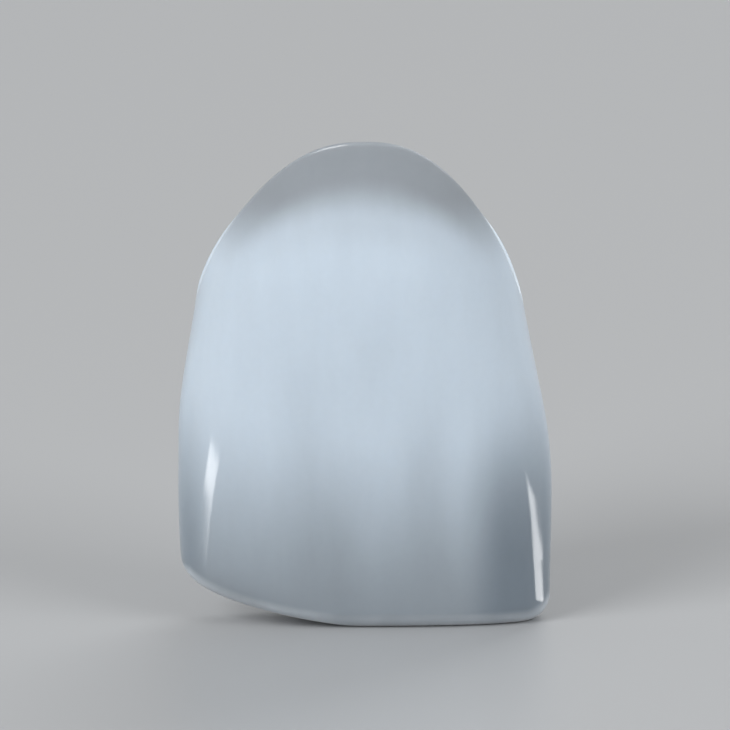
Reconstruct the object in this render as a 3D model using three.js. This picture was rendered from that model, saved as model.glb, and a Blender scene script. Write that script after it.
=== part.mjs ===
// A ceramic crown for an upper right central incisor, standing on its incisal edge with its hollow up.
// Units are millimetres. +X is mesial (towards the midline of the mouth), -X distal, -Y labial (the
// outer face), +Y lingual (the side of the tongue), and +Z points from the incisal edge to the root.
// The crown is one fired piece: an outer tooth form, a scalloped cervical margin, and a tapered
// hollow that takes the prepared tooth. All of it is one closed skin of rings around the tooth.
import * as THREE from "three";

// Outline seen from the labial side
const CROWN_LENGTH = 11.4; // incisal edge to the highest point of the labial margin
const MESIAL_CONTACT_REACH = 4.2; // mid plane to the contact with the neighbouring incisor
const MESIAL_CONTACT_HEIGHT = 3.0;
const DISTAL_CONTACT_REACH = 4.2;
const DISTAL_CONTACT_HEIGHT = 4.4;
const EDGE_MESIAL_REACH = 4.12; // the sides where they would meet the incisal edge with sharp corners
const EDGE_DISTAL_REACH = 4.12;
const MARGIN_MESIAL_REACH = 3.53; // half widths where the margin dips lowest between the teeth
const MARGIN_DISTAL_REACH = 3.76;
const NECK_MESIAL_REACH = 2.9; // half widths of the neck at the level of the labial margin
const NECK_DISTAL_REACH = 3.05;
const MESIAL_CORNER_WIDTH = 0.55; // the nearly square mesial corner of the incisal edge
const MESIAL_CORNER_HEIGHT = 0.6;
const DISTAL_CORNER_WIDTH = 3.52; // the long, round distal corner of the incisal edge
const DISTAL_CORNER_HEIGHT = 1.7;
const DISTAL_CORNER_SWEEP = 3.1; // above 1, the corner leaves the side without a kink

// Outline seen from the mesial side
const EDGE_LABIAL_Y = -1.62; // the faces where they would meet the incisal edge with sharp corners
const EDGE_LINGUAL_Y = 0.32;
const LABIAL_MIDDLE_Y = -2.72;
const LABIAL_MIDDLE_SHARE = 0.4; // its height, as a share of the crown's length
const LABIAL_BULGE_Y = -3.3; // height of contour, near the neck
const LABIAL_BULGE_BELOW_MARGIN = 2.5;
const NECK_LABIAL_Y = -2.95;
const RIDGE_LINGUAL_Y = 1.75; // marginal ridges, halfway up the lingual face
const RIDGE_HEIGHT_SHARE = 0.4;
const CINGULUM_Y = 3.2; // the swelling at the lingual neck
const CINGULUM_BELOW_MARGIN = 1.9;
const NECK_LINGUAL_Y = 2.85;
const LABIAL_EDGE_ROUND = 0.42;
const LINGUAL_EDGE_ROUND = 0.34;

// Outline seen from above: 2 is an ellipse, more is squarer, less is more pointed
const EDGE_SQUARENESS_FACTOR = 3.4;
const CONTACT_SQUARENESS_FACTOR = 2.7;
const LABIAL_NECK_SQUARENESS_FACTOR = 2.2;
const LINGUAL_NECK_SQUARENESS_FACTOR = 1.9;
const CONTACT_Y = -0.85; // the line along which the crown is widest, at the contacts and at the neck
const NECK_WIDEST_Y = -0.45;

// Cervical margin: how far it lies below the highest point of the labial margin
const MESIAL_MARGIN_DROP = 4.1;
const DISTAL_MARGIN_DROP = 3.9;
const LINGUAL_MARGIN_DROP = 1.6;
const MARGIN_ARCH_FULLNESS = 2.5; // above 2, the arches of the margin are fuller than an ellipse
const MARGIN_DIP_SOFTNESS = 1.9; // above 1, the dips between the arches are rounded

// Relief of the two faces
const FOSSA_DEPTH = 0.85; // the hollow between the marginal ridges
const FOSSA_PLACE_SHARE = 0.325; // of the crown's length
const FOSSA_HALF_LENGTH = 3.2;
const FOSSA_WIDTH_SHARE = 0.74; // of the way from the mid plane to the side
const LOBE_GROOVE_DEPTH = 0.09; // two shallow grooves part the three lobes of the labial face
const LOBE_GROOVE_PLACE_SHARE = 0.36; // of the way from the mid plane to the side
const LOBE_GROOVE_WIDTH_SHARE = 0.17;
const LOBE_GROOVE_HEIGHT = 3.4;
const LOBE_GROOVE_HALF_LENGTH = 3.2;
const ARCH_BOW = 0.25; // how far the contacts lie back along the dental arch

// Hollow for the prepared tooth
const LABIAL_WALL = 1.0;
const LINGUAL_WALL = 0.75;
const PROXIMAL_WALL = 0.85;
const MARGIN_LAND = 0.2; // width of the rim itself
const CHAMFER_SHARE = 0.2; // of the hollow's depth, over which the wall grows from the rim's width
const HOLLOW_FLOOR_HEIGHT = 3.0;
const HOLLOW_TAPER_SHARE = 0.08; // how much a proximal wall closes in, as a share of its depth
const HOLLOW_SIDE_BLEND = 1.2; // height over which the taper takes over from the outer form's sides
const HOLLOW_FLOOR_ROUND = 0.2;

// Fineness of the skin
const RING_POINTS = 72; // around the tooth, a multiple of four
const OUTER_RINGS = 32;
const INNER_RINGS = 18;
const EDGE_CROWDING = 1.9; // above 1, the outer rings crowd towards the incisal edge

const mesialMarginHeight = CROWN_LENGTH - MESIAL_MARGIN_DROP;
const distalMarginHeight = CROWN_LENGTH - DISTAL_MARGIN_DROP;
const lingualMarginHeight = CROWN_LENGTH - LINGUAL_MARGIN_DROP;
const labialBulgeHeight = CROWN_LENGTH - LABIAL_BULGE_BELOW_MARGIN;
const cingulumHeight = lingualMarginHeight - CINGULUM_BELOW_MARGIN;
const labialMiddleHeight = CROWN_LENGTH * LABIAL_MIDDLE_SHARE;
const ridgeHeight = CROWN_LENGTH * RIDGE_HEIGHT_SHARE;
const fossaHeight = CROWN_LENGTH * FOSSA_PLACE_SHARE;

const mix = (from, to, share) => from + (to - from) * share;
const clamp01 = (value) => Math.min(1, Math.max(0, value));

// A bell that is 1 at 0 and reaches 0, without a kink, at 1 and beyond.
const bell = (distance) => (1 - Math.min(1, distance * distance)) ** 2;

// The larger of two lengths, with the kink between them rounded over about `blend`.
const smoothMax = (a, b, blend) => (a + b + Math.hypot(a - b, blend)) / 2;

// What a round corner takes off a side at a height above the corner's own level.
function cornerInset(width, height, above) {
  const left = 1 - clamp01(above / height);
  return width * (1 - Math.sqrt(1 - left * left));
}

// A smooth curve through [height, value] pairs that never overshoots them.
function profile(knots) {
  const slopes = knots.slice(1).map(([z, v], i) => (v - knots[i][1]) / (z - knots[i][0]));
  const tangents = knots.map((_, i) => {
    if (i === 0) return slopes[0];
    if (i === slopes.length) return slopes[i - 1];
    const [before, after] = [slopes[i - 1], slopes[i]];
    return before * after <= 0 ? 0 : (2 * before * after) / (before + after);
  });
  return (z) => {
    let i = 0;
    while (i < knots.length - 2 && z > knots[i + 1][0]) i += 1;
    const span = knots[i + 1][0] - knots[i][0];
    const t = clamp01((z - knots[i][0]) / span);
    const [t2, t3] = [t * t, t * t * t];
    return (
      (2 * t3 - 3 * t2 + 1) * knots[i][1] +
      (t3 - 2 * t2 + t) * span * tangents[i] +
      (3 * t2 - 2 * t3) * knots[i + 1][1] +
      (t3 - t2) * span * tangents[i + 1]
    );
  };
}

// The four sides of the outer form at each height, before the corners of the edge are rounded
const mesialSide = profile([
  [0, EDGE_MESIAL_REACH],
  [MESIAL_CONTACT_HEIGHT, MESIAL_CONTACT_REACH],
  [mesialMarginHeight, MARGIN_MESIAL_REACH],
  [CROWN_LENGTH, NECK_MESIAL_REACH],
]);
const distalSide = profile([
  [0, EDGE_DISTAL_REACH],
  [DISTAL_CONTACT_HEIGHT, DISTAL_CONTACT_REACH],
  [distalMarginHeight, MARGIN_DISTAL_REACH],
  [CROWN_LENGTH, NECK_DISTAL_REACH],
]);
const labialSide = profile([
  [0, EDGE_LABIAL_Y],
  [labialMiddleHeight, LABIAL_MIDDLE_Y],
  [labialBulgeHeight, LABIAL_BULGE_Y],
  [CROWN_LENGTH, NECK_LABIAL_Y],
]);
const lingualSide = profile([
  [0, EDGE_LINGUAL_Y],
  [ridgeHeight, RIDGE_LINGUAL_Y],
  [cingulumHeight, CINGULUM_Y],
  [lingualMarginHeight, NECK_LINGUAL_Y],
]);

// The line along which the crown is widest, and how square its two halves are
const widestLine = profile([
  [0, (EDGE_LABIAL_Y + EDGE_LINGUAL_Y) / 2],
  [MESIAL_CONTACT_HEIGHT, CONTACT_Y],
  [CROWN_LENGTH, NECK_WIDEST_Y],
]);
const labialSquareness = profile([
  [0, EDGE_SQUARENESS_FACTOR],
  [MESIAL_CONTACT_HEIGHT, CONTACT_SQUARENESS_FACTOR],
  [CROWN_LENGTH, LABIAL_NECK_SQUARENESS_FACTOR],
]);
const lingualSquareness = profile([
  [0, EDGE_SQUARENESS_FACTOR],
  [MESIAL_CONTACT_HEIGHT, CONTACT_SQUARENESS_FACTOR],
  [CROWN_LENGTH, LINGUAL_NECK_SQUARENESS_FACTOR],
]);

// How deep the lingual fossa is at a height.
const fossaAt = (z) => FOSSA_DEPTH * bell((z - fossaHeight) / FOSSA_HALF_LENGTH);

// The outer form's outline at a height.
function outerOutline(z) {
  const mesialCorner = cornerInset(MESIAL_CORNER_WIDTH, MESIAL_CORNER_HEIGHT, z);
  const distalCorner =
    DISTAL_CORNER_WIDTH * (1 - clamp01(z / DISTAL_CORNER_HEIGHT)) ** DISTAL_CORNER_SWEEP;
  return {
    mesial: mesialSide(z) - mesialCorner,
    distal: distalSide(z) - distalCorner,
    labial: labialSide(z) + cornerInset(LABIAL_EDGE_ROUND, LABIAL_EDGE_ROUND, z),
    lingual: lingualSide(z) - cornerInset(LINGUAL_EDGE_ROUND, LINGUAL_EDGE_ROUND, z),
    widest: widestLine(z),
    labialSquareness: labialSquareness(z),
    lingualSquareness: lingualSquareness(z),
  };
}

// The hollow's outline at a height, a share of the way down from the rim to the floor. Its proximal
// walls close in evenly towards the floor, and its faces keep their wall behind the outer ones.
function hollowOutline(z, share) {
  const wallShare = 1 - (1 - clamp01(share / CHAMFER_SHARE)) ** 2;
  const floorInset = cornerInset(HOLLOW_FLOOR_ROUND, HOLLOW_FLOOR_ROUND, z - HOLLOW_FLOOR_HEIGHT);
  const outer = outerOutline(z);
  const proximal = (side, marginHeight) => {
    const level = smoothMax(z, marginHeight, HOLLOW_SIDE_BLEND);
    const wall = side(level) - PROXIMAL_WALL - HOLLOW_TAPER_SHARE * (level - z);
    return mix(side(z) - MARGIN_LAND, wall, wallShare) - floorInset;
  };
  return {
    ...outer,
    mesial: proximal(mesialSide, mesialMarginHeight),
    distal: proximal(distalSide, distalMarginHeight),
    labial: outer.labial + mix(MARGIN_LAND, LABIAL_WALL, wallShare) + floorInset,
    lingual: outer.lingual - fossaAt(z) - mix(MARGIN_LAND, LINGUAL_WALL, wallShare) - floorInset,
  };
}

// A point of an outline. turn runs from 0 at the labial middle past mesial (0.25), lingual (0.5)
// and distal (0.75). `across` is how far the point lies from the mid plane, as a share of the side.
function outlinePoint(outline, turn) {
  const quarter = Math.floor(turn * 4) % 4;
  const along = turn * 4 - quarter;
  const isLabial = quarter === 0 || quarter === 3;
  const isMesial = quarter < 2;
  const toSide = quarter % 2 === 0 ? along : 1 - along;
  const squareness = isLabial ? outline.labialSquareness : outline.lingualSquareness;
  const [near, far] = [toSide ** (squareness / 2), (1 - toSide) ** (squareness / 2)];
  const angle = ((Math.PI / 2) * near) / (near + far);
  const across = Math.sin(angle) ** (2 / squareness);
  const outward = Math.cos(angle) ** (2 / squareness);
  const x = across * (isMesial ? outline.mesial : -outline.distal);
  const face = isLabial ? outline.labial : outline.lingual;
  const contactReach = isMesial ? MESIAL_CONTACT_REACH : DISTAL_CONTACT_REACH;
  const y = mix(outline.widest, face, outward) + ARCH_BOW * (x / contactReach) ** 2;
  return { x, y, across, isLabial };
}

// Height of the cervical margin: a full arch over the labial face, a dip between the teeth, and a
// lower arch over the lingual face.
function marginHeight(turn) {
  const quarter = Math.floor(turn * 4) % 4;
  const along = turn * 4 - quarter;
  const toSide = quarter % 2 === 0 ? along : 1 - along;
  const dip = quarter < 2 ? mesialMarginHeight : distalMarginHeight;
  const crest = quarter === 0 || quarter === 3 ? CROWN_LENGTH : lingualMarginHeight;
  return mix(dip, crest, (1 - toSide ** MARGIN_ARCH_FULLNESS) ** MARGIN_DIP_SOFTNESS);
}

// A point of the outer form, with the fossa and the grooves between the lobes.
function outerPoint(turn, z) {
  const point = outlinePoint(outerOutline(z), turn);
  const groove =
    LOBE_GROOVE_DEPTH *
    bell((z - LOBE_GROOVE_HEIGHT) / LOBE_GROOVE_HALF_LENGTH) *
    bell((point.across - LOBE_GROOVE_PLACE_SHARE) / LOBE_GROOVE_WIDTH_SHARE);
  const relief = point.isLabial ? groove : -fossaAt(z) * bell(point.across / FOSSA_WIDTH_SHARE);
  return new THREE.Vector3(point.x, point.y + relief, z);
}

// A point of the hollow at a share of the way down from the rim to the floor.
function hollowPoint(turn, share) {
  const z = mix(marginHeight(turn), HOLLOW_FLOOR_HEIGHT, share);
  const point = outlinePoint(hollowOutline(z, share), turn);
  return new THREE.Vector3(point.x, point.y, z);
}

// Every ring of the skin, from the incisal edge up to the margin and down to the hollow's floor.
function skinRings() {
  const turns = Array.from({ length: RING_POINTS }, (_, i) => i / RING_POINTS);
  const rings = [];
  for (let i = 0; i <= OUTER_RINGS; i += 1) {
    const rise = (i / OUTER_RINGS) ** EDGE_CROWDING;
    rings.push(turns.map((turn) => outerPoint(turn, rise * marginHeight(turn))));
  }
  for (let i = 0; i <= INNER_RINGS; i += 1) {
    const share = Math.sin((Math.PI / 2) * (i / INNER_RINGS));
    rings.push(turns.map((turn) => hollowPoint(turn, mix(i / INNER_RINGS, share, 0.5))));
  }
  return rings;
}

// One closed surface over the rings, with a flat cap on the first and the last of them.
function skinGeometry(rings) {
  const middleOf = (ring) =>
    ring.reduce((sum, point) => sum.add(point), new THREE.Vector3()).divideScalar(ring.length);
  const points = [...rings.flat(), middleOf(rings[0]), middleOf(rings[rings.length - 1])];
  const [firstMiddle, lastMiddle] = [points.length - 2, points.length - 1];
  const faces = [];
  for (let i = 0; i < RING_POINTS; i += 1) {
    const next = (i + 1) % RING_POINTS;
    for (let row = 0; row < rings.length - 1; row += 1) {
      const [low, high] = [row * RING_POINTS, (row + 1) * RING_POINTS];
      faces.push(low + i, low + next, high + next);
      faces.push(low + i, high + next, high + i);
    }
    const last = (rings.length - 1) * RING_POINTS;
    faces.push(firstMiddle, next, i);
    faces.push(lastMiddle, last + i, last + next);
  }
  const geometry = new THREE.BufferGeometry().setFromPoints(points);
  geometry.setIndex(faces);
  geometry.computeVertexNormals();
  return geometry;
}

const glazedCeramic = new THREE.MeshStandardMaterial({
  color: "#cfd4da",
  roughness: 0.16,
  metalness: 0,
});

const crown = new THREE.Mesh(skinGeometry(skinRings()), glazedCeramic);
crown.name = "crown";

// The frame's origin is the middle of the ground that the crown covers.
const bounds = new THREE.Box3().setFromObject(crown);
const middle = bounds.getCenter(new THREE.Vector3());
crown.position.set(-middle.x, -middle.y, 0);

const part = new THREE.Group();
part.add(crown);

export default part;
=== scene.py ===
"""A ceramic crown for an upper right central incisor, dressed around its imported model.

The tooth form is stated in millimetres, as a dental technician states it, and built in metres in
the model's own frame: +X is mesial, -Y labial and +Z runs from the incisal edge to the root.
"""

import logging
import math
from dataclasses import dataclass, field
from enum import Enum
from typing import Any

import bpy
import numpy as np
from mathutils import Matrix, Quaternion, Vector


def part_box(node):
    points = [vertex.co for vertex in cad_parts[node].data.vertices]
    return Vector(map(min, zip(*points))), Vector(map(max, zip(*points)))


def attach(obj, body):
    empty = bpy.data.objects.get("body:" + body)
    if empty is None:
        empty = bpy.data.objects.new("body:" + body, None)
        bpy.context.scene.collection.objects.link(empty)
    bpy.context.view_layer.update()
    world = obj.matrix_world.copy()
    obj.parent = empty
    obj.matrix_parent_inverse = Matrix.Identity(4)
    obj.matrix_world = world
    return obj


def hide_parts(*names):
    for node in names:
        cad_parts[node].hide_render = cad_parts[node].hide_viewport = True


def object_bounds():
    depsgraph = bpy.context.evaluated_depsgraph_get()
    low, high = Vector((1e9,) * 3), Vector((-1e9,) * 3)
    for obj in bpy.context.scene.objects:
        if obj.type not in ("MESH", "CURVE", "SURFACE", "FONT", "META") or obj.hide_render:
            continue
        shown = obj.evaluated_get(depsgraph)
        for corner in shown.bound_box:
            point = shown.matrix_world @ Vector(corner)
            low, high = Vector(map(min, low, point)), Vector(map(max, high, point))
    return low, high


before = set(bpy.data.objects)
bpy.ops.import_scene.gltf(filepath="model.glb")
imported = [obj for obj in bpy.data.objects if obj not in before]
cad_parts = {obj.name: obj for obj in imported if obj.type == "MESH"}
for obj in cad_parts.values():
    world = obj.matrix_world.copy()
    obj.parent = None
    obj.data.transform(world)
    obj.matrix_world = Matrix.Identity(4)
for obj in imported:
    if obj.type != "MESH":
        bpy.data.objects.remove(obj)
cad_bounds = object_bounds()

log = logging.getLogger("ceramic_crown")

MM = 0.001  # metres in a millimetre
GLOW_RADIUS = (1.0, 0.92, 0.86)  # how far red, green and blue light go in the ceramic

Colour = tuple[float, float, float, float]
Span = tuple[float, float]  # where a fade starts and where it ends


class Surface(Enum):
    """The two surfaces of the crown, by the slot of their material."""

    GLAZED = 0
    ETCHED = 1


def clamp01(value: np.ndarray) -> np.ndarray:
    """Limits values to 0..1."""
    return np.clip(value, 0.0, 1.0)


def mix(start: Any, end: Any, share: Any) -> Any:
    """The value a share of the way from start to end."""
    return start + (end - start) * share


def bell(distance: np.ndarray) -> np.ndarray:
    """A bump that is 1 at 0 and reaches 0, without a kink, at 1 and beyond."""
    return (1 - np.minimum(1, distance * distance)) ** 2


def smooth_max(first: Any, second: Any, blend: float) -> Any:
    """The larger of two lengths, with the kink between them rounded over about blend."""
    return (first + second + np.hypot(first - second, blend)) / 2


def corner_inset(width: float, height: float, above: np.ndarray) -> np.ndarray:
    """What a round corner takes off a side at a height above the corner's own level."""
    left = 1 - clamp01(above / height)
    return width * (1 - np.sqrt(1 - left * left))


@dataclass(frozen=True)
class Profile:
    """A smooth curve of a length over the height, which never overshoots its knots."""

    knots: tuple[tuple[float, float], ...]

    def at(self, height: Any) -> np.ndarray:
        """Reads the curve.

        Args:
            height: heights above the incisal edge, in mm.

        Returns:
            The curve's value at each of the heights.
        """
        z, value = (np.array(column) for column in zip(*self.knots))
        slope = np.diff(value) / np.diff(z)
        product, total = slope[:-1] * slope[1:], slope[:-1] + slope[1:]
        inner = np.where(product > 0, 2 * product / np.where(total == 0, 1, total), 0)
        tangent = np.concatenate([slope[:1], inner, slope[-1:]])
        i = np.clip(np.searchsorted(z, height, side="left") - 1, 0, len(z) - 2)
        span = z[i + 1] - z[i]
        t = clamp01((height - z[i]) / span)
        return (
            (2 * t**3 - 3 * t**2 + 1) * value[i]
            + (t**3 - 2 * t**2 + t) * span * tangent[i]
            + (3 * t**2 - 2 * t**3) * value[i + 1]
            + (t**3 - t**2) * span * tangent[i + 1]
        )


@dataclass
class Outline:
    """One level outline of the tooth: where its four sides are, and how square it is."""

    mesial: np.ndarray
    distal: np.ndarray
    labial: np.ndarray
    lingual: np.ndarray
    widest: np.ndarray
    labial_squareness: np.ndarray
    lingual_squareness: np.ndarray


@dataclass
class Turn:
    """Places around the tooth, from 0 at the labial middle past mesial to 1."""

    count: int
    along: np.ndarray = field(init=False)
    is_labial: np.ndarray = field(init=False)
    is_mesial: np.ndarray = field(init=False)
    to_side: np.ndarray = field(init=False)

    def __post_init__(self) -> None:
        """Works out which face and side each place is on."""
        self.along = np.arange(self.count) / self.count
        quarter = np.floor(self.along * 4).astype(int)
        within = self.along * 4 - quarter
        self.is_labial = (quarter == 0) | (quarter == 3)
        self.is_mesial = quarter < 2
        self.to_side = np.where(quarter % 2 == 0, within, 1 - within)


@dataclass(frozen=True)
class Wave:
    """One long, shallow wave of the hand-finished surface, in mm."""

    heading: tuple[float, float, float]
    length: float
    depth: float
    start: float

    def at(self, points: np.ndarray) -> np.ndarray:
        """How far the wave takes the surface inwards.

        Args:
            points: places on the surface, in mm.

        Returns:
            A length at each of the points, from 0 to the wave's depth.
        """
        heading = np.array(self.heading) / np.linalg.norm(self.heading)
        phase = points @ heading * (2 * math.pi / self.length) + self.start
        return self.depth * (1 - np.cos(phase)) / 2


@dataclass(frozen=True)
class ToothForm:
    """The crown's outer form, its scalloped margin and its hollow. Lengths are in mm."""

    length: float = 11.4
    mesial_contact_reach: float = 4.2
    mesial_contact_height: float = 3.0
    distal_contact_reach: float = 4.2
    distal_contact_height: float = 4.4
    edge_mesial_reach: float = 4.12
    edge_distal_reach: float = 4.12
    margin_mesial_reach: float = 3.53
    margin_distal_reach: float = 3.76
    neck_mesial_reach: float = 2.9
    neck_distal_reach: float = 3.05
    mesial_corner: tuple[float, float] = (0.55, 0.6)
    distal_corner: tuple[float, float] = (3.52, 1.7)
    distal_corner_sweep: float = 3.1
    edge_line_ends: tuple[float, float] = (0.3, 1.0)
    edge_line_steps: int = 200

    edge_labial_y: float = -1.62
    edge_lingual_y: float = 0.32
    labial_middle: tuple[float, float] = (4.56, -2.72)
    labial_bulge: tuple[float, float] = (8.9, -3.3)
    neck_labial_y: float = -2.95
    ridge: tuple[float, float] = (4.56, 1.75)
    cingulum: tuple[float, float] = (7.9, 3.2)
    neck_lingual_y: float = 2.85
    labial_edge_round: float = 0.42
    lingual_edge_round: float = 0.34
    contact_y: float = -0.85
    neck_widest_y: float = -0.45
    edge_squareness: float = 3.4
    contact_squareness: float = 2.7
    labial_neck_squareness: float = 2.2
    lingual_neck_squareness: float = 1.9
    arch_bow: float = 0.25

    mesial_margin_height: float = 7.3
    distal_margin_height: float = 7.5
    lingual_margin_height: float = 9.8
    margin_fullness: float = 2.5
    margin_softness: float = 1.9

    fossa_depth: float = 0.85
    fossa_height: float = 3.705
    fossa_half_length: float = 3.2
    fossa_width_share: float = 0.74
    groove_depth: float = 0.09
    groove_place: float = 0.36
    groove_width: float = 0.17
    groove_height: float = 3.4
    groove_half_length: float = 3.2

    labial_wall: float = 1.0
    lingual_wall: float = 0.75
    proximal_wall: float = 0.85
    margin_land: float = 0.2
    chamfer_share: float = 0.2
    floor_height: float = 3.0
    hollow_taper: float = 0.08
    hollow_side_blend: float = 1.2
    floor_round: float = 0.2

    def mesial_side(self) -> Profile:
        """Half width on the mesial side, before the corner is rounded.

        Returns:
            The half width over the height.
        """
        return Profile((
            (0, self.edge_mesial_reach),
            (self.mesial_contact_height, self.mesial_contact_reach),
            (self.mesial_margin_height, self.margin_mesial_reach),
            (self.length, self.neck_mesial_reach),
        ))

    def distal_side(self) -> Profile:
        """Half width on the distal side, before the corner is rounded.

        Returns:
            The half width over the height.
        """
        return Profile((
            (0, self.edge_distal_reach),
            (self.distal_contact_height, self.distal_contact_reach),
            (self.distal_margin_height, self.margin_distal_reach),
            (self.length, self.neck_distal_reach),
        ))

    def distal_corner_inset(self, z: np.ndarray) -> np.ndarray:
        """What the long, swept distal corner takes off its side at each height."""
        width, height = self.distal_corner
        return width * (1 - clamp01(z / height)) ** self.distal_corner_sweep

    def edge_height(self, x: np.ndarray) -> np.ndarray:
        """Height of the incisal edge, up to where its light line ends at the two corners.

        Args:
            x: places across the tooth, in mm.

        Returns:
            The edge's height at each place.
        """
        up, far_up = (np.linspace(0, end, self.edge_line_steps) for end in self.edge_line_ends)
        mesial = self.mesial_side().at(up) - corner_inset(*self.mesial_corner, up)
        distal = self.distal_side().at(far_up) - self.distal_corner_inset(far_up)
        return np.where(x > 0, np.interp(x, mesial, up), np.interp(-x, distal, far_up))

    def outer_outline(self, z: np.ndarray) -> Outline:
        """The outer form's outline.

        Args:
            z: heights above the incisal edge, in mm.

        Returns:
            The outline at each height.
        """
        labial = Profile((
            (0, self.edge_labial_y),
            self.labial_middle,
            self.labial_bulge,
            (self.length, self.neck_labial_y),
        ))
        lingual = Profile((
            (0, self.edge_lingual_y),
            self.ridge,
            self.cingulum,
            (self.lingual_margin_height, self.neck_lingual_y),
        ))
        widest = Profile((
            (0, (self.edge_labial_y + self.edge_lingual_y) / 2),
            (self.mesial_contact_height, self.contact_y),
            (self.length, self.neck_widest_y),
        ))
        squareness = [
            Profile((
                (0, self.edge_squareness),
                (self.mesial_contact_height, self.contact_squareness),
                (self.length, neck),
            ))
            for neck in (self.labial_neck_squareness, self.lingual_neck_squareness)
        ]
        return Outline(
            mesial=self.mesial_side().at(z) - corner_inset(*self.mesial_corner, z),
            distal=self.distal_side().at(z) - self.distal_corner_inset(z),
            labial=labial.at(z)
            + corner_inset(self.labial_edge_round, self.labial_edge_round, z),
            lingual=lingual.at(z)
            - corner_inset(self.lingual_edge_round, self.lingual_edge_round, z),
            widest=widest.at(z),
            labial_squareness=squareness[0].at(z),
            lingual_squareness=squareness[1].at(z),
        )

    def fossa_at(self, z: np.ndarray) -> np.ndarray:
        """How deep the lingual fossa is at each height."""
        return self.fossa_depth * bell((z - self.fossa_height) / self.fossa_half_length)

    def hollow_outline(self, z: np.ndarray, share: np.ndarray) -> Outline:
        """The hollow's outline.

        Args:
            z: heights, in mm.
            share: how far down each height lies, from 0 at the rim to 1 at the floor.

        Returns:
            The outline, whose wall grows from the rim's width to its full thickness.
        """
        wall_share = 1 - (1 - clamp01(share / self.chamfer_share)) ** 2
        floor_inset = corner_inset(self.floor_round, self.floor_round, z - self.floor_height)
        outer = self.outer_outline(z)

        def proximal(side: Profile, margin_height: float) -> np.ndarray:
            """Half width of the hollow towards one neighbouring tooth.

            Args:
                side: the outer form's half width on that side.
                margin_height: how high the margin is there, in mm.

            Returns:
                The half width at each height.
            """
            level = smooth_max(z, margin_height, self.hollow_side_blend)
            wall = side.at(level) - self.proximal_wall - self.hollow_taper * (level - z)
            return mix(side.at(z) - self.margin_land, wall, wall_share) - floor_inset

        outer.mesial = proximal(self.mesial_side(), self.mesial_margin_height)
        outer.distal = proximal(self.distal_side(), self.distal_margin_height)
        outer.labial += mix(self.margin_land, self.labial_wall, wall_share) + floor_inset
        outer.lingual -= (
            self.fossa_at(z) + mix(self.margin_land, self.lingual_wall, wall_share) + floor_inset
        )
        return outer

    def place(self, outline: Outline, turn: Turn) -> tuple[np.ndarray, np.ndarray, np.ndarray]:
        """Points of an outline.

        Args:
            outline: the level outlines, a row for each ring.
            turn: the places around the tooth, a column for each.

        Returns:
            The points' x and y, and how far each lies from the mid plane, as a share of the side.
        """
        squareness = np.where(
            turn.is_labial, outline.labial_squareness, outline.lingual_squareness
        )
        near, far = turn.to_side ** (squareness / 2), (1 - turn.to_side) ** (squareness / 2)
        angle = (math.pi / 2) * near / (near + far)
        across = np.sin(angle) ** (2 / squareness)
        outward = np.cos(angle) ** (2 / squareness)
        x = across * np.where(turn.is_mesial, outline.mesial, -outline.distal)
        face = np.where(turn.is_labial, outline.labial, outline.lingual)
        reach = np.where(turn.is_mesial, self.mesial_contact_reach, self.distal_contact_reach)
        y = mix(outline.widest, face, outward) + self.arch_bow * (x / reach) ** 2
        return x, y, across

    def margin_height(self, turn: Turn) -> np.ndarray:
        """Height of the cervical margin: two arches with a dip between the teeth.

        Args:
            turn: the places around the tooth.

        Returns:
            The height at each place, in mm.
        """
        dip = np.where(turn.is_mesial, self.mesial_margin_height, self.distal_margin_height)
        crest = np.where(turn.is_labial, self.length, self.lingual_margin_height)
        arch = (1 - turn.to_side**self.margin_fullness) ** self.margin_softness
        return mix(dip, crest, arch)


@dataclass(frozen=True)
class SurfaceAnatomy:
    """Fine relief that a technician gives the two faces. Lengths are in mm."""

    lobe_ridge_depth: float = 0.035
    lobe_ridges: float = 2.6
    lobe_ridge_shift: float = 0.6
    lobe_height: float = 4.4
    lobe_half_length: float = 4.6
    lobe_width_share: float = 1.15
    lingual_groove_depth: float = 0.09
    lingual_groove_place: float = 0.3
    lingual_groove_slant: float = 0.04
    lingual_groove_width: float = 0.2
    lingual_groove_height: float = 5.6
    lingual_groove_half_length: float = 2.4
    waves: tuple[Wave, ...] = (
        Wave((1.0, 0.2, 0.35), 3.1, 0.016, 0.4),
        Wave((-0.3, 0.5, 1.0), 4.3, 0.02, 2.1),
        Wave((0.8, -0.4, -0.9), 1.9, 0.008, 1.2),
        Wave((0.1, 1.0, 0.6), 2.6, 0.01, 4.0),
    )

    def labial(self, across: np.ndarray, z: np.ndarray) -> np.ndarray:
        """How far the labial face lies back: faint ridges along its three lobes.

        Args:
            across: shares of the way from the mid plane to the side.
            z: heights above the incisal edge, in mm.

        Returns:
            The depth at each point, in mm.
        """
        height = bell((z - self.lobe_height) / self.lobe_half_length)
        reach = height * bell(across / self.lobe_width_share)
        turns = across * self.lobe_ridges * 2 * math.pi
        ridges = 0.5 - 0.5 * np.cos(turns + self.lobe_ridge_shift)
        return self.lobe_ridge_depth * reach * ridges

    def lingual(self, across: np.ndarray, z: np.ndarray) -> np.ndarray:
        """How far the lingual face lies back: two shallow grooves beside the cingulum.

        Args:
            across: shares of the way from the mid plane to the side.
            z: heights above the incisal edge, in mm.

        Returns:
            The depth at each point, in mm.
        """
        along = bell((z - self.lingual_groove_height) / self.lingual_groove_half_length)
        spread = self.lingual_groove_slant * (self.lingual_groove_height - z)
        place = self.lingual_groove_place + spread
        grooves = bell((np.abs(across) - place) / self.lingual_groove_width)
        return self.lingual_groove_depth * along * grooves

    def unevenness(self, points: np.ndarray) -> np.ndarray:
        """How far the hand finishing takes each point inwards."""
        return sum(wave.at(points) for wave in self.waves)


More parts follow.
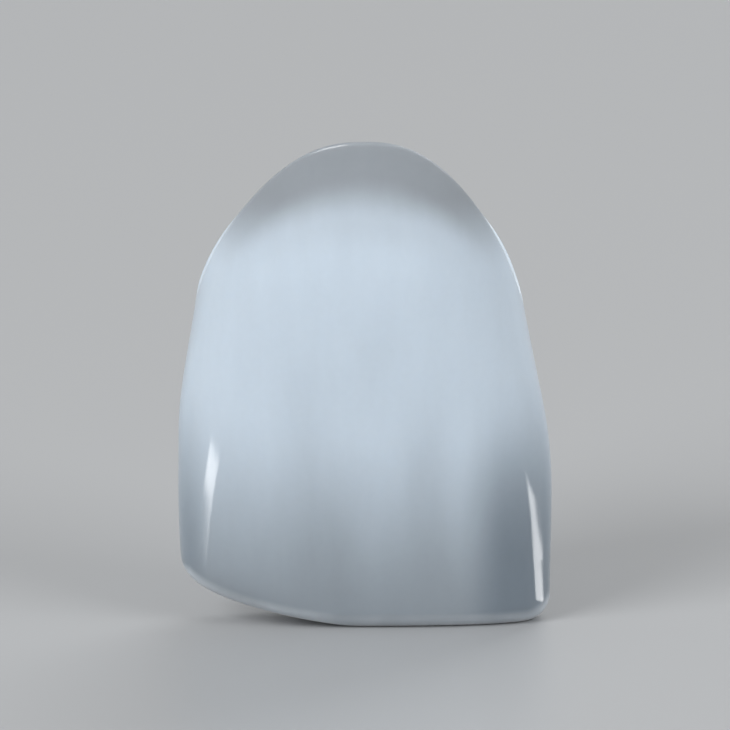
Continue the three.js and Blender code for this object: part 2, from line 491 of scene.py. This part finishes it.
class Wiring:
    """Adds nodes to a node tree and joins their sockets."""

    def __init__(self, tree: bpy.types.NodeTree) -> None:
        """Keeps the tree to wire."""
        self.tree = tree

    def add(
        self, kind: str, inputs: dict[Any, Any] | None = None, **settings: Any
    ) -> bpy.types.Node:
        """Adds a node.

        Args:
            kind: the node's Blender type.
            inputs: values, or sockets to join, by input name or number.
            settings: the node's own properties.

        Returns:
            The new node.
        """
        node = self.tree.nodes.new(kind)
        for name, value in settings.items():
            setattr(node, name, value)
        for name, value in (inputs or {}).items():
            if isinstance(value, bpy.types.NodeSocket):
                self.tree.links.new(value, node.inputs[name])
            else:
                node.inputs[name].default_value = value
        return node

    def maths(self, operation: str, *values: Any, clamp: bool = False) -> bpy.types.NodeSocket:
        """Adds one sum.

        Args:
            operation: Blender's name for the sum.
            values: the numbers or sockets that go into it.
            clamp: whether the result is kept within 0 to 1.

        Returns:
            The result's socket.
        """
        inputs = dict(enumerate(values))
        node = self.add("ShaderNodeMath", inputs, operation=operation, use_clamp=clamp)
        return node.outputs[0]

    def fade(self, value: Any, start: float, end: float) -> bpy.types.NodeSocket:
        """Adds a soft step from 0 to 1.

        Args:
            value: the number or socket that the step follows.
            start: the value at which the step is 0.
            end: the value at which the step is 1.

        Returns:
            The step's socket.
        """
        inputs = {"Value": value, "From Min": start, "From Max": end}
        node = self.add("ShaderNodeMapRange", inputs, interpolation_type="SMOOTHSTEP")
        return node.outputs["Result"]

    def blend(
        self, share: Any, first: Any, second: Any, kind: str = "MIX"
    ) -> bpy.types.NodeSocket:
        """Blends two colours.

        Args:
            share: how much of the second colour shows.
            first: the first colour or its socket.
            second: the second colour or its socket.
            kind: Blender's name for the way they blend.

        Returns:
            The blended colour's socket.
        """
        inputs = {0: share, 6: first, 7: second}
        node = self.add("ShaderNodeMix", inputs, data_type="RGBA", blend_type=kind)
        return node.outputs[2]

    def feed(self, name: str, source: bpy.types.NodeSocket) -> None:
        """Joins a socket to the input of that name on the material's shader."""
        self.tree.links.new(source, self.tree.nodes["Principled BSDF"].inputs[name])


def start_material(name: str, values: dict[str, Any]) -> tuple[bpy.types.Material, Wiring]:
    """Makes a material and sets what is the same all over it.

    Args:
        name: the material's name.
        values: the shader's values, by input name.

    Returns:
        The material and the wiring of its nodes.
    """
    made = bpy.data.materials.new(name)
    made.use_nodes = True
    for key, value in values.items():
        made.node_tree.nodes["Principled BSDF"].inputs[key].default_value = value
    return made, Wiring(made.node_tree)


def paint(red: int, green: int, blue: int) -> Colour:
    """Turns a colour as a screen shows it into the linear form that shaders take.

    Args:
        red: how red it is, 0 to 255.
        green: how green it is, 0 to 255.
        blue: how blue it is, 0 to 255.

    Returns:
        The linear colour, fully opaque.
    """
    linear = [
        c / 12.92 if c <= 0.04045 else ((c + 0.055) / 1.055) ** 2.4
        for c in (red / 255, green / 255, blue / 255)
    ]
    return (*linear, 1.0)


@dataclass(frozen=True)
class CeramicEffects:
    """Shader effects that both surfaces of the ceramic use, built once as node groups."""

    cell_scale: float = 0.6
    speck_edge: Span = (0.22, 0.08)

    @staticmethod
    def start(
        name: str, inputs: tuple[str, ...], outputs: tuple[str, ...]
    ) -> tuple[bpy.types.NodeTree, Wiring]:
        """Makes a group and its sockets.

        Args:
            name: the group's name.
            inputs: the names of its inputs.
            outputs: the names of its outputs.

        Returns:
            The group and the wiring of its nodes.
        """
        group = bpy.data.node_groups.new(name, "ShaderNodeTree")
        kinds = {"Place": "NodeSocketVector", "Colour": "NodeSocketColor"}
        for in_out, names in (("INPUT", inputs), ("OUTPUT", outputs)):
            for socket in names:
                kind = kinds.get(socket, "NodeSocketFloat")
                group.interface.new_socket(name=socket, in_out=in_out, socket_type=kind)
        return group, Wiring(group)

    def millimetres(self) -> bpy.types.NodeTree:
        """Builds the group that gives places on the crown in mm.

        Returns:
            The group, with the outputs Place, Across, Deep and Height.
        """
        outputs = ("Place", "Across", "Deep", "Height")
        group, wiring = self.start("place_in_millimetres", (), outputs)
        coordinates = wiring.add("ShaderNodeTexCoord")
        scaled = wiring.add(
            "ShaderNodeVectorMath",
            {0: coordinates.outputs["Object"], "Scale": 1 / MM},
            operation="SCALE",
        )
        parts = wiring.add("ShaderNodeSeparateXYZ", {0: scaled.outputs[0]})
        wiring.add("NodeGroupOutput", {
            "Place": scaled.outputs[0],
            "Across": parts.outputs["X"],
            "Deep": parts.outputs["Y"],
            "Height": parts.outputs["Z"],
        })
        return group

    def clouding(self) -> bpy.types.NodeTree:
        """Builds the group that clouds a colour as layered ceramic does.

        Returns:
            The group, with the inputs Colour, Place, Size and Strength and the output Colour.
        """
        inputs = ("Colour", "Place", "Size", "Strength")
        group, wiring = self.start("ceramic_clouding", inputs, ("Colour",))
        given = wiring.add("NodeGroupInput")
        cloud = wiring.add("ShaderNodeTexNoise", {
            "Vector": given.outputs["Place"],
            "Scale": wiring.maths("DIVIDE", 1.0, given.outputs["Size"]),
            "Detail": 3.0,
            "Roughness": 0.55,
        })
        swing = wiring.maths("MULTIPLY_ADD", cloud.outputs["Fac"], 2.0, -1.0)
        level = wiring.maths("MULTIPLY_ADD", swing, given.outputs["Strength"], 1.0)
        shade = wiring.add("ShaderNodeCombineXYZ", {0: level, 1: level, 2: level})
        clouded = wiring.blend(1.0, given.outputs["Colour"], shade.outputs[0], "MULTIPLY")
        wiring.add("NodeGroupOutput", {"Colour": clouded})
        return group

    def grain(self) -> bpy.types.NodeTree:
        """Builds the group for the fine grain of fired ceramic.

        Returns:
            The group, with the inputs Place and Size and the outputs Height and Speck.
        """
        group, wiring = self.start("fired_grain", ("Place", "Size"), ("Height", "Speck"))
        given = wiring.add("NodeGroupInput")
        scale = wiring.maths("DIVIDE", 1.0, given.outputs["Size"])
        grit = wiring.add("ShaderNodeTexNoise", {
            "Vector": given.outputs["Place"], "Scale": scale, "Detail": 4.0, "Roughness": 0.6,
        })
        cells = wiring.add("ShaderNodeTexVoronoi", {
            "Vector": given.outputs["Place"],
            "Scale": wiring.maths("MULTIPLY", scale, self.cell_scale),
        })
        wiring.add("NodeGroupOutput", {
            "Height": grit.outputs["Fac"],
            "Speck": wiring.fade(cells.outputs["Distance"], *self.speck_edge),
        })
        return group


@dataclass(frozen=True)
class CeramicGroups:
    """The shared node groups, ready to place in a material."""

    place: bpy.types.NodeTree
    clouding: bpy.types.NodeTree
    grain: bpy.types.NodeTree


@dataclass(frozen=True)
class GlazedCeramic:
    """The glazed outer surface: a cool white body with a blue-grey, clearer incisal third.

    Lengths are in mm, but the heights of the relief and the glow's depth are in metres.
    """

    name: str = "glazed_ceramic"
    body: Colour = paint(195, 208, 220)
    neck: Colour = paint(133, 138, 143)
    incisal: Colour = paint(139, 148, 156)
    # painted shade on the flanks that turn away, partly the clearer ceramic there
    flank_shade_and_translucency: Colour = paint(108, 120, 131)
    edge_line: Colour = paint(204, 211, 218)

    ior: float = 1.53
    specular_level: float = 0.2
    glow: float = 0.4
    glow_depth: float = 0.35 * MM
    roughness: float = 0.34
    grain_size: float = 0.09
    grain_roughness: float = 0.16
    coat_ior: float = 1.6
    coat_roughness: float = 0.1
    coat_from_edge: Span = (0.1, 0.4)
    slanting: Span = (0.34, 0.6)  # shares of a full slant, 0 face on
    slant_calm: float = 0.85

    streak_stretch: tuple[float, float, float] = (1.0, 1.0, 0.16)
    streak_scale: float = 1.15
    streak_reach: float = 0.9
    lobe_turns: float = 2.45
    lobe_shift: float = 1.1
    lobe_reach: float = 0.2
    clear_height: Span = (5.4, 0.2)

    mesial_across: Span = (2.0, 3.2)
    mesial_far_across: Span = (3.5, 4.1)
    mesial_far_lift: float = 0.25
    distal_across: Span = (-3.4, -4.0)
    distal_share: float = 0.7
    flank_deep: Span = (-0.5, -1.3)
    flank_height: Span = (6.4, 1.4)
    flank_strength: float = 0.9

    neck_wander: float = 0.3
    neck_bands: tuple[tuple[Span, float], ...] = (((2.9, 1.8), 0.3), ((1.7, 0.7), 0.6))
    neck_height: Span = (8.2, 10.2)

    line_width: Span = (0.42, 0.14)
    line_swing: float = 0.8
    line_floor: float = 0.4
    line_strength: float = 0.8

    cloud_size: float = 0.7
    cloud_strength: float = 0.045
    fine_cloud_size: float = 0.16
    fine_cloud_strength: float = 0.02

    ripple_scale: float = 1.6
    ripple_height: float = 0.004 * MM
    perikymata_pitch: float = 0.21
    perikymata_wander_scale: float = 0.8
    perikymata_wander: float = 0.5
    perikymata_reach: Span = (4.0, 8.5)
    perikymata_height: float = 0.0002 * MM

    def material(self, groups: CeramicGroups) -> bpy.types.Material:
        """Builds the material.

        Args:
            groups: the shared node groups.

        Returns:
            The material.
        """
        made, wiring = start_material(self.name, {
            "IOR": self.ior,
            "Specular IOR Level": self.specular_level,
            "Subsurface Weight": self.glow,
            "Subsurface Radius": GLOW_RADIUS,
            "Subsurface Scale": self.glow_depth,
            "Coat Roughness": self.coat_roughness,
            "Coat IOR": self.coat_ior,
        })
        place = wiring.add("ShaderNodeGroup", node_tree=groups.place).outputs
        wiring.feed("Base Color", self.colour(wiring, place, groups))
        slant = wiring.add("ShaderNodeLayerWeight", {"Blend": 0.5}).outputs["Facing"]
        slanting = wiring.fade(slant, *self.slanting)
        calm = wiring.maths("MULTIPLY_ADD", slanting, -self.slant_calm, 1.0)
        above_edge = wiring.fade(place["Height"], *self.coat_from_edge)
        wiring.feed("Coat Weight", wiring.maths("MULTIPLY", calm, above_edge))

        grain = wiring.add("ShaderNodeGroup", {
            "Place": place["Place"], "Size": self.grain_size,
        }, node_tree=groups.grain).outputs["Height"]
        smoothest = self.roughness - self.grain_roughness / 2
        rough = wiring.maths("MULTIPLY_ADD", grain, self.grain_roughness, smoothest)
        wiring.feed("Roughness", rough)
        wiring.feed("Normal", self.relief(wiring, place))
        return made

    def clear_mask(self, wiring: Wiring, place: Any, streaks: Any) -> bpy.types.NodeSocket:
        """Wires where the ceramic is clearer: the incisal third, drawn up between the lobes.

        Args:
            wiring: the material's wiring.
            place: the outputs of the place group.
            streaks: the streaks' socket.

        Returns:
            The mask's socket.
        """
        turns = wiring.maths("MULTIPLY_ADD", place["Across"], self.lobe_turns, self.lobe_shift)
        lobes = wiring.maths("SINE", turns)
        swing = wiring.maths("MULTIPLY_ADD", streaks, self.streak_reach, -self.streak_reach / 2)
        reach = wiring.maths("ADD", swing, wiring.maths("MULTIPLY", lobes, self.lobe_reach))
        return wiring.fade(wiring.maths("ADD", place["Height"], reach), *self.clear_height)

    def flank_shade_and_translucency_mask(self, wiring: Wiring, place: Any) -> bpy.types.NodeSocket:
        """Wires the darker flanks of the labial face: partly painted shade, partly clearer
        ceramic.

        Args:
            wiring: the material's wiring.
            place: the outputs of the place group.

        Returns:
            The mask's socket.
        """
        inner = wiring.fade(place["Across"], *self.mesial_across)
        far = wiring.fade(place["Across"], *self.mesial_far_across)
        lift = wiring.maths("MULTIPLY", far, self.mesial_far_lift)
        mesial = wiring.maths("SUBTRACT", inner, lift, clamp=True)
        outer = wiring.fade(place["Across"], *self.distal_across)
        distal = wiring.maths("MULTIPLY", outer, self.distal_share)
        sides = wiring.maths("ADD", mesial, distal)
        labial = wiring.maths("MULTIPLY", sides, wiring.fade(place["Deep"], *self.flank_deep))
        low = wiring.fade(place["Height"], *self.flank_height)
        # painted shade, lowest on the labial flanks, together with their clearer ceramic
        flank_shade_and_translucency = wiring.maths("MULTIPLY", labial, low)
        return wiring.maths("MULTIPLY", flank_shade_and_translucency, self.flank_strength)

    def neck_mask(self, wiring: Wiring, place: Any, streaks: Any) -> bpy.types.NodeSocket:
        """Wires the two grey bands below the labial margin.

        Args:
            wiring: the material's wiring.
            place: the outputs of the place group.
            streaks: the streaks' socket.

        Returns:
            The mask's socket.
        """
        below = wiring.add("ShaderNodeAttribute", attribute_name="below_margin").outputs["Fac"]
        wander = wiring.maths("MULTIPLY_ADD", streaks, self.neck_wander, -self.neck_wander / 2)
        below = wiring.maths("ADD", below, wander)
        bands = [
            wiring.maths("MULTIPLY", wiring.fade(below, *width), share)
            for width, share in self.neck_bands
        ]
        high = wiring.fade(place["Height"], *self.neck_height)
        return wiring.maths("MULTIPLY", wiring.maths("ADD", *bands), high)

    def line_mask(self, wiring: Wiring, streaks: Any) -> bpy.types.NodeSocket:
        """Wires the thin light line along the incisal edge.

        Args:
            wiring: the material's wiring.
            streaks: the streaks' socket.

        Returns:
            The mask's socket.
        """
        from_edge = wiring.add("ShaderNodeAttribute", attribute_name="above_edge").outputs["Fac"]
        near = wiring.fade(from_edge, *self.line_width)
        swing = wiring.maths("MULTIPLY_ADD", streaks, self.line_swing, self.line_floor)
        line = wiring.maths("MULTIPLY", near, swing)
        return wiring.maths("MULTIPLY", line, self.line_strength, clamp=True)

    def colour(
        self, wiring: Wiring, place: Any, groups: CeramicGroups
    ) -> bpy.types.NodeSocket:
        """Wires the colour of the layered ceramic.

        Args:
            wiring: the material's wiring.
            place: the outputs of the place group.
            groups: the shared node groups.

        Returns:
            The colour's socket.
        """
        stretched = wiring.add("ShaderNodeVectorMath", {
            0: place["Place"], 1: self.streak_stretch,
        }, operation="MULTIPLY").outputs[0]
        streaks = wiring.add("ShaderNodeTexNoise", {
            "Vector": stretched, "Scale": self.streak_scale, "Detail": 2.0, "Roughness": 0.5,
        }).outputs["Fac"]
        clear = self.clear_mask(wiring, place, streaks)
        colour = wiring.blend(clear, self.body, self.incisal)
        # the flanks darkened: partly painted shade, partly clearer ceramic
        colour = wiring.blend(self.flank_shade_and_translucency_mask(wiring, place), colour, self.flank_shade_and_translucency)
        colour = wiring.blend(self.neck_mask(wiring, place, streaks), colour, self.neck)
        colour = wiring.blend(self.line_mask(wiring, streaks), colour, self.edge_line)
        for where, size, strength in (
            (stretched, self.cloud_size, self.cloud_strength),
            (place["Place"], self.fine_cloud_size, self.fine_cloud_strength),
        ):
            colour = wiring.add("ShaderNodeGroup", {
                "Colour": colour, "Place": where, "Size": size, "Strength": strength,
            }, node_tree=groups.clouding).outputs["Colour"]
        return colour

    def relief(self, wiring: Wiring, place: Any) -> bpy.types.NodeSocket:
        """Wires the glaze's ripple and the fine level lines of the enamel.

        Args:
            wiring: the material's wiring.
            place: the outputs of the place group.

        Returns:
            The bumped normal's socket.
        """
        ripple = wiring.add("ShaderNodeTexNoise", {
            "Vector": place["Place"], "Scale": self.ripple_scale, "Detail": 2.0,
            "Roughness": 0.45,
        }).outputs["Fac"]
        rippled = wiring.add("ShaderNodeBump", {
            "Height": ripple, "Strength": 1.0, "Distance": self.ripple_height,
        })
        wander = wiring.add("ShaderNodeTexNoise", {
            "Vector": place["Place"], "Scale": self.perikymata_wander_scale, "Detail": 1.0,
        }).outputs["Fac"]
        level = wiring.maths("MULTIPLY_ADD", wander, self.perikymata_wander, place["Height"])
        turns = wiring.maths("MULTIPLY", level, 2 * math.pi / self.perikymata_pitch)
        lines = wiring.maths("SINE", turns)
        high = wiring.fade(place["Height"], *self.perikymata_reach)
        return wiring.add("ShaderNodeBump", {
            "Height": wiring.maths("MULTIPLY", lines, high), "Strength": 1.0,
            "Distance": self.perikymata_height, "Normal": rippled.outputs["Normal"],
        }).outputs["Normal"]


@dataclass(frozen=True)
class EtchedCeramic:
    """The inside, blasted and etched so that cement holds: matt, chalky and pitted.

    Lengths are in mm, but the heights of the relief and the glow's depth are in metres.
    """

    name: str = "etched_ceramic"
    body: Colour = paint(204, 209, 213)
    # painted shade deeper in the hollow
    painted_hollow_shade: Colour = paint(182, 187, 191)
    speck: Colour = paint(166, 170, 173)
    ior: float = 1.5
    specular_level: float = 0.35
    glow: float = 0.25
    glow_depth: float = 0.4 * MM
    roughness: float = 0.72
    grain_size: float = 0.075
    grain_roughness: float = 0.3
    speck_share: float = 0.35
    deep_height: Span = (8.5, 3.2)
    cloud_size: float = 0.9
    cloud_strength: float = 0.07
    grit_height: float = 0.012 * MM
    mill_pitch: float = 0.16
    mill_height: float = 0.003 * MM

    def material(self, groups: CeramicGroups) -> bpy.types.Material:
        """Builds the material.

        Args:
            groups: the shared node groups.

        Returns:
            The material.
        """
        made, wiring = start_material(self.name, {
            "IOR": self.ior,
            "Specular IOR Level": self.specular_level,
            "Subsurface Weight": self.glow,
            "Subsurface Radius": GLOW_RADIUS,
            "Subsurface Scale": self.glow_depth,
        })
        place = wiring.add("ShaderNodeGroup", node_tree=groups.place).outputs
        grain = wiring.add("ShaderNodeGroup", {
            "Place": place["Place"], "Size": self.grain_size,
        }, node_tree=groups.grain).outputs
        # painted shade: darker towards the hollow's floor
        depth = wiring.fade(place["Height"], *self.deep_height)
        colour = wiring.blend(depth, self.body, self.painted_hollow_shade)
        specks = wiring.maths("MULTIPLY", grain["Speck"], self.speck_share)
        colour = wiring.blend(specks, colour, self.speck)
        clouded = wiring.add("ShaderNodeGroup", {
            "Colour": colour, "Place": place["Place"], "Size": self.cloud_size,
            "Strength": self.cloud_strength,
        }, node_tree=groups.clouding)
        wiring.feed("Base Color", clouded.outputs["Colour"])
        smoothest = self.roughness - self.grain_roughness / 2
        rough = wiring.maths("MULTIPLY_ADD", grain["Height"], self.grain_roughness, smoothest)
        wiring.feed("Roughness", rough)
        turns = wiring.maths("MULTIPLY", place["Height"], 2 * math.pi / self.mill_pitch)
        milled = wiring.add("ShaderNodeBump", {
            "Height": wiring.maths("SINE", turns), "Strength": 1.0,
            "Distance": self.mill_height,
        })
        pitted = wiring.add("ShaderNodeBump", {
            "Height": grain["Height"], "Strength": 1.0, "Distance": self.grit_height,
            "Normal": milled.outputs["Normal"],
        })
        wiring.feed("Normal", pitted.outputs["Normal"])
        return made


@dataclass
class Crown:
    """The whole crown: one closed skin over the outer form, round the rim and into the hollow."""

    form: ToothForm
    anatomy: SurfaceAnatomy
    glaze: GlazedCeramic
    etch: EtchedCeramic
    columns: int = 312
    outer_rows: int = 190
    rim_rows: int = 6
    hollow_rows: int = 76
    cap_rows: int = 9
    edge_crowding: float = 1.9
    rim_round: float = 0.07
    spacer_step: float = 0.045
    spacer_share: float = 0.17
    spacer_blend: float = 0.02
    floor_crowding: float = 0.5
    ridges_from_edge: float = 0.8
    waves_from_edge: float = 1.5

    def outer_rings(self, turn: Turn) -> np.ndarray:
        """The rings of the outer form, from the incisal edge to just under the rim.

        Args:
            turn: the places around the tooth.

        Returns:
            The points in mm, by ring and place.
        """
        form, anatomy = self.form, self.anatomy
        rise = (np.arange(self.outer_rows + 1) / self.outer_rows) ** self.edge_crowding
        z = rise[:, None] * (form.margin_height(turn) - self.rim_round)[None, :]
        x, y, across = form.place(form.outer_outline(z), turn)
        signed = across * np.where(turn.is_mesial, 1, -1)
        groove = (
            form.groove_depth
            * bell((z - form.groove_height) / form.groove_half_length)
            * bell((across - form.groove_place) / form.groove_width)
        )
        ridges = anatomy.labial(signed, z) * clamp01(z / self.ridges_from_edge)
        labial = groove + ridges
        lingual = form.fossa_at(z) * bell(across / form.fossa_width_share)
        lingual = lingual + anatomy.lingual(signed, z)
        y = y + np.where(turn.is_labial, labial, -lingual)
        points = np.stack([x, y, z], axis=-1)
        middle = np.stack([0 * x, np.broadcast_to(form.contact_y, y.shape), z], axis=-1)
        inward = middle - points
        inward /= np.linalg.norm(inward, axis=-1, keepdims=True) + 1e-9  # never 0
        depth = anatomy.unevenness(points) * clamp01(z / self.waves_from_edge)
        return points + inward * depth[..., None]

    def rim_rings(self, outer: np.ndarray, inner: np.ndarray) -> np.ndarray:
        """The rings that round the rim.

        Args:
            outer: the last ring of the outer form.
            inner: the first ring of the hollow.

        Returns:
            The points in mm, by ring and place, without the two rings given.
        """
        angle = math.pi * np.arange(1, self.rim_rows) / self.rim_rows
        over = ((1 - np.cos(angle)) / 2)[:, None, None]
        points = mix(outer[None], inner[None], over)
        points[..., 2] += self.rim_round * np.sin(angle)[:, None]
        return points

    def hollow_rings(self, turn: Turn) -> np.ndarray:
        """The rings of the hollow, from just under the rim to its floor.

        Args:
            turn: the places around the tooth.

        Returns:
            The points in mm, by ring and place.
        """
        form = self.form
        i = np.arange(self.hollow_rows + 1) / self.hollow_rows
        down = mix(i, np.sin(math.pi / 2 * i), self.floor_crowding)
        share = down[:, None] * np.ones(turn.count)[None, :]
        top = (form.margin_height(turn) - self.rim_round)[None, :]
        z = mix(top, form.floor_height, share)
        outline = form.hollow_outline(z, share)
        step = self.spacer_step * clamp01((share - self.spacer_share) / self.spacer_blend)
        outline.mesial = outline.mesial + step
        outline.distal = outline.distal + step
        outline.labial = outline.labial - step
        outline.lingual = outline.lingual + step
        x, y, _ = form.place(outline, turn)
        return np.stack([x, y, z], axis=-1)

    def cap_rings(self, ring: np.ndarray) -> np.ndarray:
        """Rings that close a flat end.

        Args:
            ring: the ring at the end's border.

        Returns:
            The rings inside it in mm, ever smaller towards its middle.
        """
        middle = ring.mean(axis=0)
        shares = np.arange(1, self.cap_rows) / self.cap_rows
        return mix(ring[None], middle, shares[:, None, None])

    def faces(self, rows: int) -> list[Any]:
        """Joins the rings into faces.

        Args:
            rows: how many rings there are.

        Returns:
            The points of each face: row by row, then the incisal end and the hollow's floor.
        """
        column = np.arange(self.columns)
        beside = (column + 1) % self.columns
        made = []
        for row in range(rows - 1):
            here, beyond = row * self.columns, (row + 1) * self.columns
            made += np.stack(
                [here + column, here + beside, beyond + beside, beyond + column], axis=1
            ).tolist()
        start, bottom = (rows - 1) * self.columns, rows * self.columns
        made += [(bottom, int(b), int(a)) for a, b in zip(column, beside)]
        made += [(bottom + 1, int(start + a), int(start + b)) for a, b in zip(column, beside)]
        return made

    def mesh(self) -> bpy.types.Mesh:
        """Builds the crown's mesh.

        Returns:
            A closed mesh in metres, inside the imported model's box, with the glazed and the
            etched faces in their own material slots.
        """
        turn = Turn(self.columns)
        outer, hollow = self.outer_rings(turn), self.hollow_rings(turn)
        rim = self.rim_rings(outer[-1], hollow[0])
        first, last = self.cap_rings(outer[0]), self.cap_rings(hollow[-1])
        rings = np.concatenate([first[::-1], outer, rim, hollow, last])
        below = (self.form.margin_height(turn)[None, :] - rings[..., 2]).reshape(-1)
        points = rings.reshape(-1, 3)
        points = np.concatenate([points, [first[-1].mean(axis=0)], [last[-1].mean(axis=0)]])
        below = np.concatenate([below, [self.form.length] * 2])
        from_edge = points[:, 2] - self.form.edge_height(points[:, 0])

        low, high = (np.array(corner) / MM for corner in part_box("crown"))
        middle = (points.min(axis=0) + points.max(axis=0)) / 2
        points[:, :2] += ((low + high) / 2 - middle)[:2]
        points = np.clip(points, low, high)

        count, rows = self.columns, len(rings)
        faces = self.faces(rows)
        mesh = bpy.data.meshes.new("crown_skin")
        mesh.from_pydata((points * MM).tolist(), [], faces)
        mesh.update()
        mesh.polygons.foreach_set("use_smooth", [True] * len(faces))
        glazed_rows = len(first) + len(outer) + len(rim) // 2
        slots = np.zeros(len(faces), np.int32)
        slots[glazed_rows * count : (rows - 1) * count] = Surface.ETCHED.value
        slots[-count:] = Surface.ETCHED.value
        mesh.polygons.foreach_set("material_index", slots)
        mesh.attributes.new("below_margin", "FLOAT", "POINT").data.foreach_set("value", below)
        mesh.attributes.new("above_edge", "FLOAT", "POINT").data.foreach_set("value", from_edge)
        return mesh

    def build(self, groups: CeramicGroups) -> bpy.types.Object:
        """Makes the crown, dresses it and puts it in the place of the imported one.

        Args:
            groups: the shared node groups.

        Returns:
            The crown.
        """
        mesh = self.mesh()
        for finish in (self.glaze, self.etch):
            mesh.materials.append(finish.material(groups))
        piece = bpy.data.objects.new("dental_crown", mesh)
        bpy.context.scene.collection.objects.link(piece)
        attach(piece, "root")
        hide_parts("crown")
        log.info("%s: %d faces, %d points", piece.name, len(mesh.polygons), len(mesh.vertices))
        return piece


class Lights(Enum):
    """What a lamp is for: even light on every surface, or a gleam on the crown's glaze."""

    SURFACES = "surfaces"
    GLEAM = "gleam"


@dataclass(frozen=True)
class SoftBox:
    """A soft lamp: where it stands, how large it is in metres and how bright in watts."""

    name: str
    place: tuple[float, float, float]
    width: float
    height: float
    power: float
    lights: Lights = Lights.SURFACES
    roll: float = 0.0  # degrees about the line to the target

    def build(self, target: Vector, crown: bpy.types.Collection) -> bpy.types.Object:
        """Makes the lamp and turns it to the target.

        Args:
            target: the point that the lamp faces.
            crown: what a gleam falls on.

        Returns:
            The lamp.
        """
        lamp = bpy.data.lights.new(self.name, "AREA")
        lamp.shape = "RECTANGLE"
        lamp.size, lamp.size_y = self.width, self.height
        lamp.energy = self.power
        made = bpy.data.objects.new(self.name, lamp)
        made.location = self.place
        made.rotation_mode = "QUATERNION"
        facing = (target - Vector(self.place)).to_track_quat("-Z", "Y")
        made.rotation_quaternion = facing @ Quaternion((0, 0, 1), math.radians(self.roll))
        made.visible_camera = False
        made.visible_diffuse = self.lights is Lights.SURFACES
        made.visible_glossy = self.lights is Lights.GLEAM
        if self.lights is Lights.GLEAM:
            made.light_linking.receiver_collection = crown
        bpy.context.scene.collection.objects.link(made)
        return made


@dataclass
class Studio:
    """A plain pale floor, soft lamps and the camera at the photograph's angle.

    The labial face mirrors what lies below the horizon, so the two strips stand lower than the
    floor. Their gleams are the bright lines along the two line angles.
    """

    floor_colour: Colour = paint(166, 168, 170)
    floor_side: float = 3.0
    floor_roughness: float = 0.4
    sky_strength: float = 0.4
    elevation: float = 13.0
    distance: float = 0.33
    frame_height: float = 0.0163
    lamps: tuple[SoftBox, ...] = (
        SoftBox("key_lamp", (-0.33, -0.34, 0.29), 0.3, 0.3, 2.5),
        SoftBox("key_gleam", (-0.24, -0.36, 0.36), 0.26, 0.26, 1.2, Lights.GLEAM),
        SoftBox("fill_lamp", (0.36, -0.26, 0.24), 0.3, 0.3, 1.3),
        SoftBox("back_lamp", (0.16, 0.42, 0.36), 0.34, 0.3, 1.5),
        SoftBox("distal_strip", (-0.37, -0.17, -0.172), 0.1, 0.036, 0.08, Lights.GLEAM, -25.0),
        SoftBox("mesial_strip", (0.41, 0.0, -0.18), 0.22, 0.055, 0.25, Lights.GLEAM),
        SoftBox("side_gleam", (0.42, 0.05, 0.3), 0.14, 0.26, 0.4, Lights.GLEAM),
        SoftBox("back_gleam", (0.2, 0.36, 0.3), 0.12, 0.26, 0.4, Lights.GLEAM),
    )

    def floor(self) -> None:
        """Lays the floor, which the glaze does not mirror, so that the low strips show in it."""
        half = self.floor_side / 2
        mesh = bpy.data.meshes.new("pale_floor")
        corners = [(-half, -half, 0), (half, -half, 0), (half, half, 0), (-half, half, 0)]
        mesh.from_pydata(corners, [], [(0, 1, 2, 3)])
        laid = bpy.data.objects.new("pale_floor", mesh)
        bpy.context.scene.collection.objects.link(laid)
        made, _ = start_material("pale_floor", {
            "Base Color": self.floor_colour,
            "Roughness": self.floor_roughness,
        })
        mesh.materials.append(made)
        laid.visible_glossy = False

    def sky(self) -> None:
        """Lights the scene evenly from all round."""
        world = bpy.data.worlds.new("even_sky")
        world.use_nodes = True
        background = world.node_tree.nodes["Background"]
        background.inputs["Color"].default_value = (1.0, 1.0, 1.0, 1.0)
        background.inputs["Strength"].default_value = self.sky_strength
        bpy.context.scene.world = world

    def camera(self, target: Vector) -> None:
        """Puts the camera at the photograph's angle.

        Args:
            target: the point that the camera is aimed at.
        """
        tilt = math.radians(self.elevation)
        back = Vector((0, -math.cos(tilt), math.sin(tilt)))
        lens = bpy.data.cameras.new("camera")
        lens.sensor_width = 36.0
        lens.angle = 2 * math.atan(self.frame_height / 2 / self.distance)
        lens.clip_start = 0.01
        lens.clip_end = 10.0
        made = bpy.data.objects.new("camera", lens)
        made.location = target + back * self.distance
        made.rotation_mode = "QUATERNION"
        made.rotation_quaternion = (-back).to_track_quat("-Z", "Y")
        bpy.context.scene.collection.objects.link(made)
        bpy.context.scene.camera = made

    def build(self, piece: bpy.types.Object) -> None:
        """Sets the whole studio around the crown.

        Args:
            piece: the crown, on which the gleams fall.
        """
        low, high = cad_bounds
        target = (low + high) / 2
        crown = bpy.data.collections.new("crown_alone")
        crown.objects.link(piece)
        self.floor()
        self.sky()
        for lamp in self.lamps:
            lamp.build(target, crown)
        self.camera(target)
        bpy.context.scene.view_settings.view_transform = "Standard"
        log.info("studio: %d lamps, floor and camera", len(self.lamps))


def main() -> None:
    """Builds the crown and its studio, and reports each."""
    logging.basicConfig(level=logging.INFO)
    effects = CeramicEffects()
    groups = CeramicGroups(effects.millimetres(), effects.clouding(), effects.grain())
    crown = Crown(ToothForm(), SurfaceAnatomy(), GlazedCeramic(), EtchedCeramic())
    Studio().build(crown.build(groups))


if __name__ == "__main__":
    main()
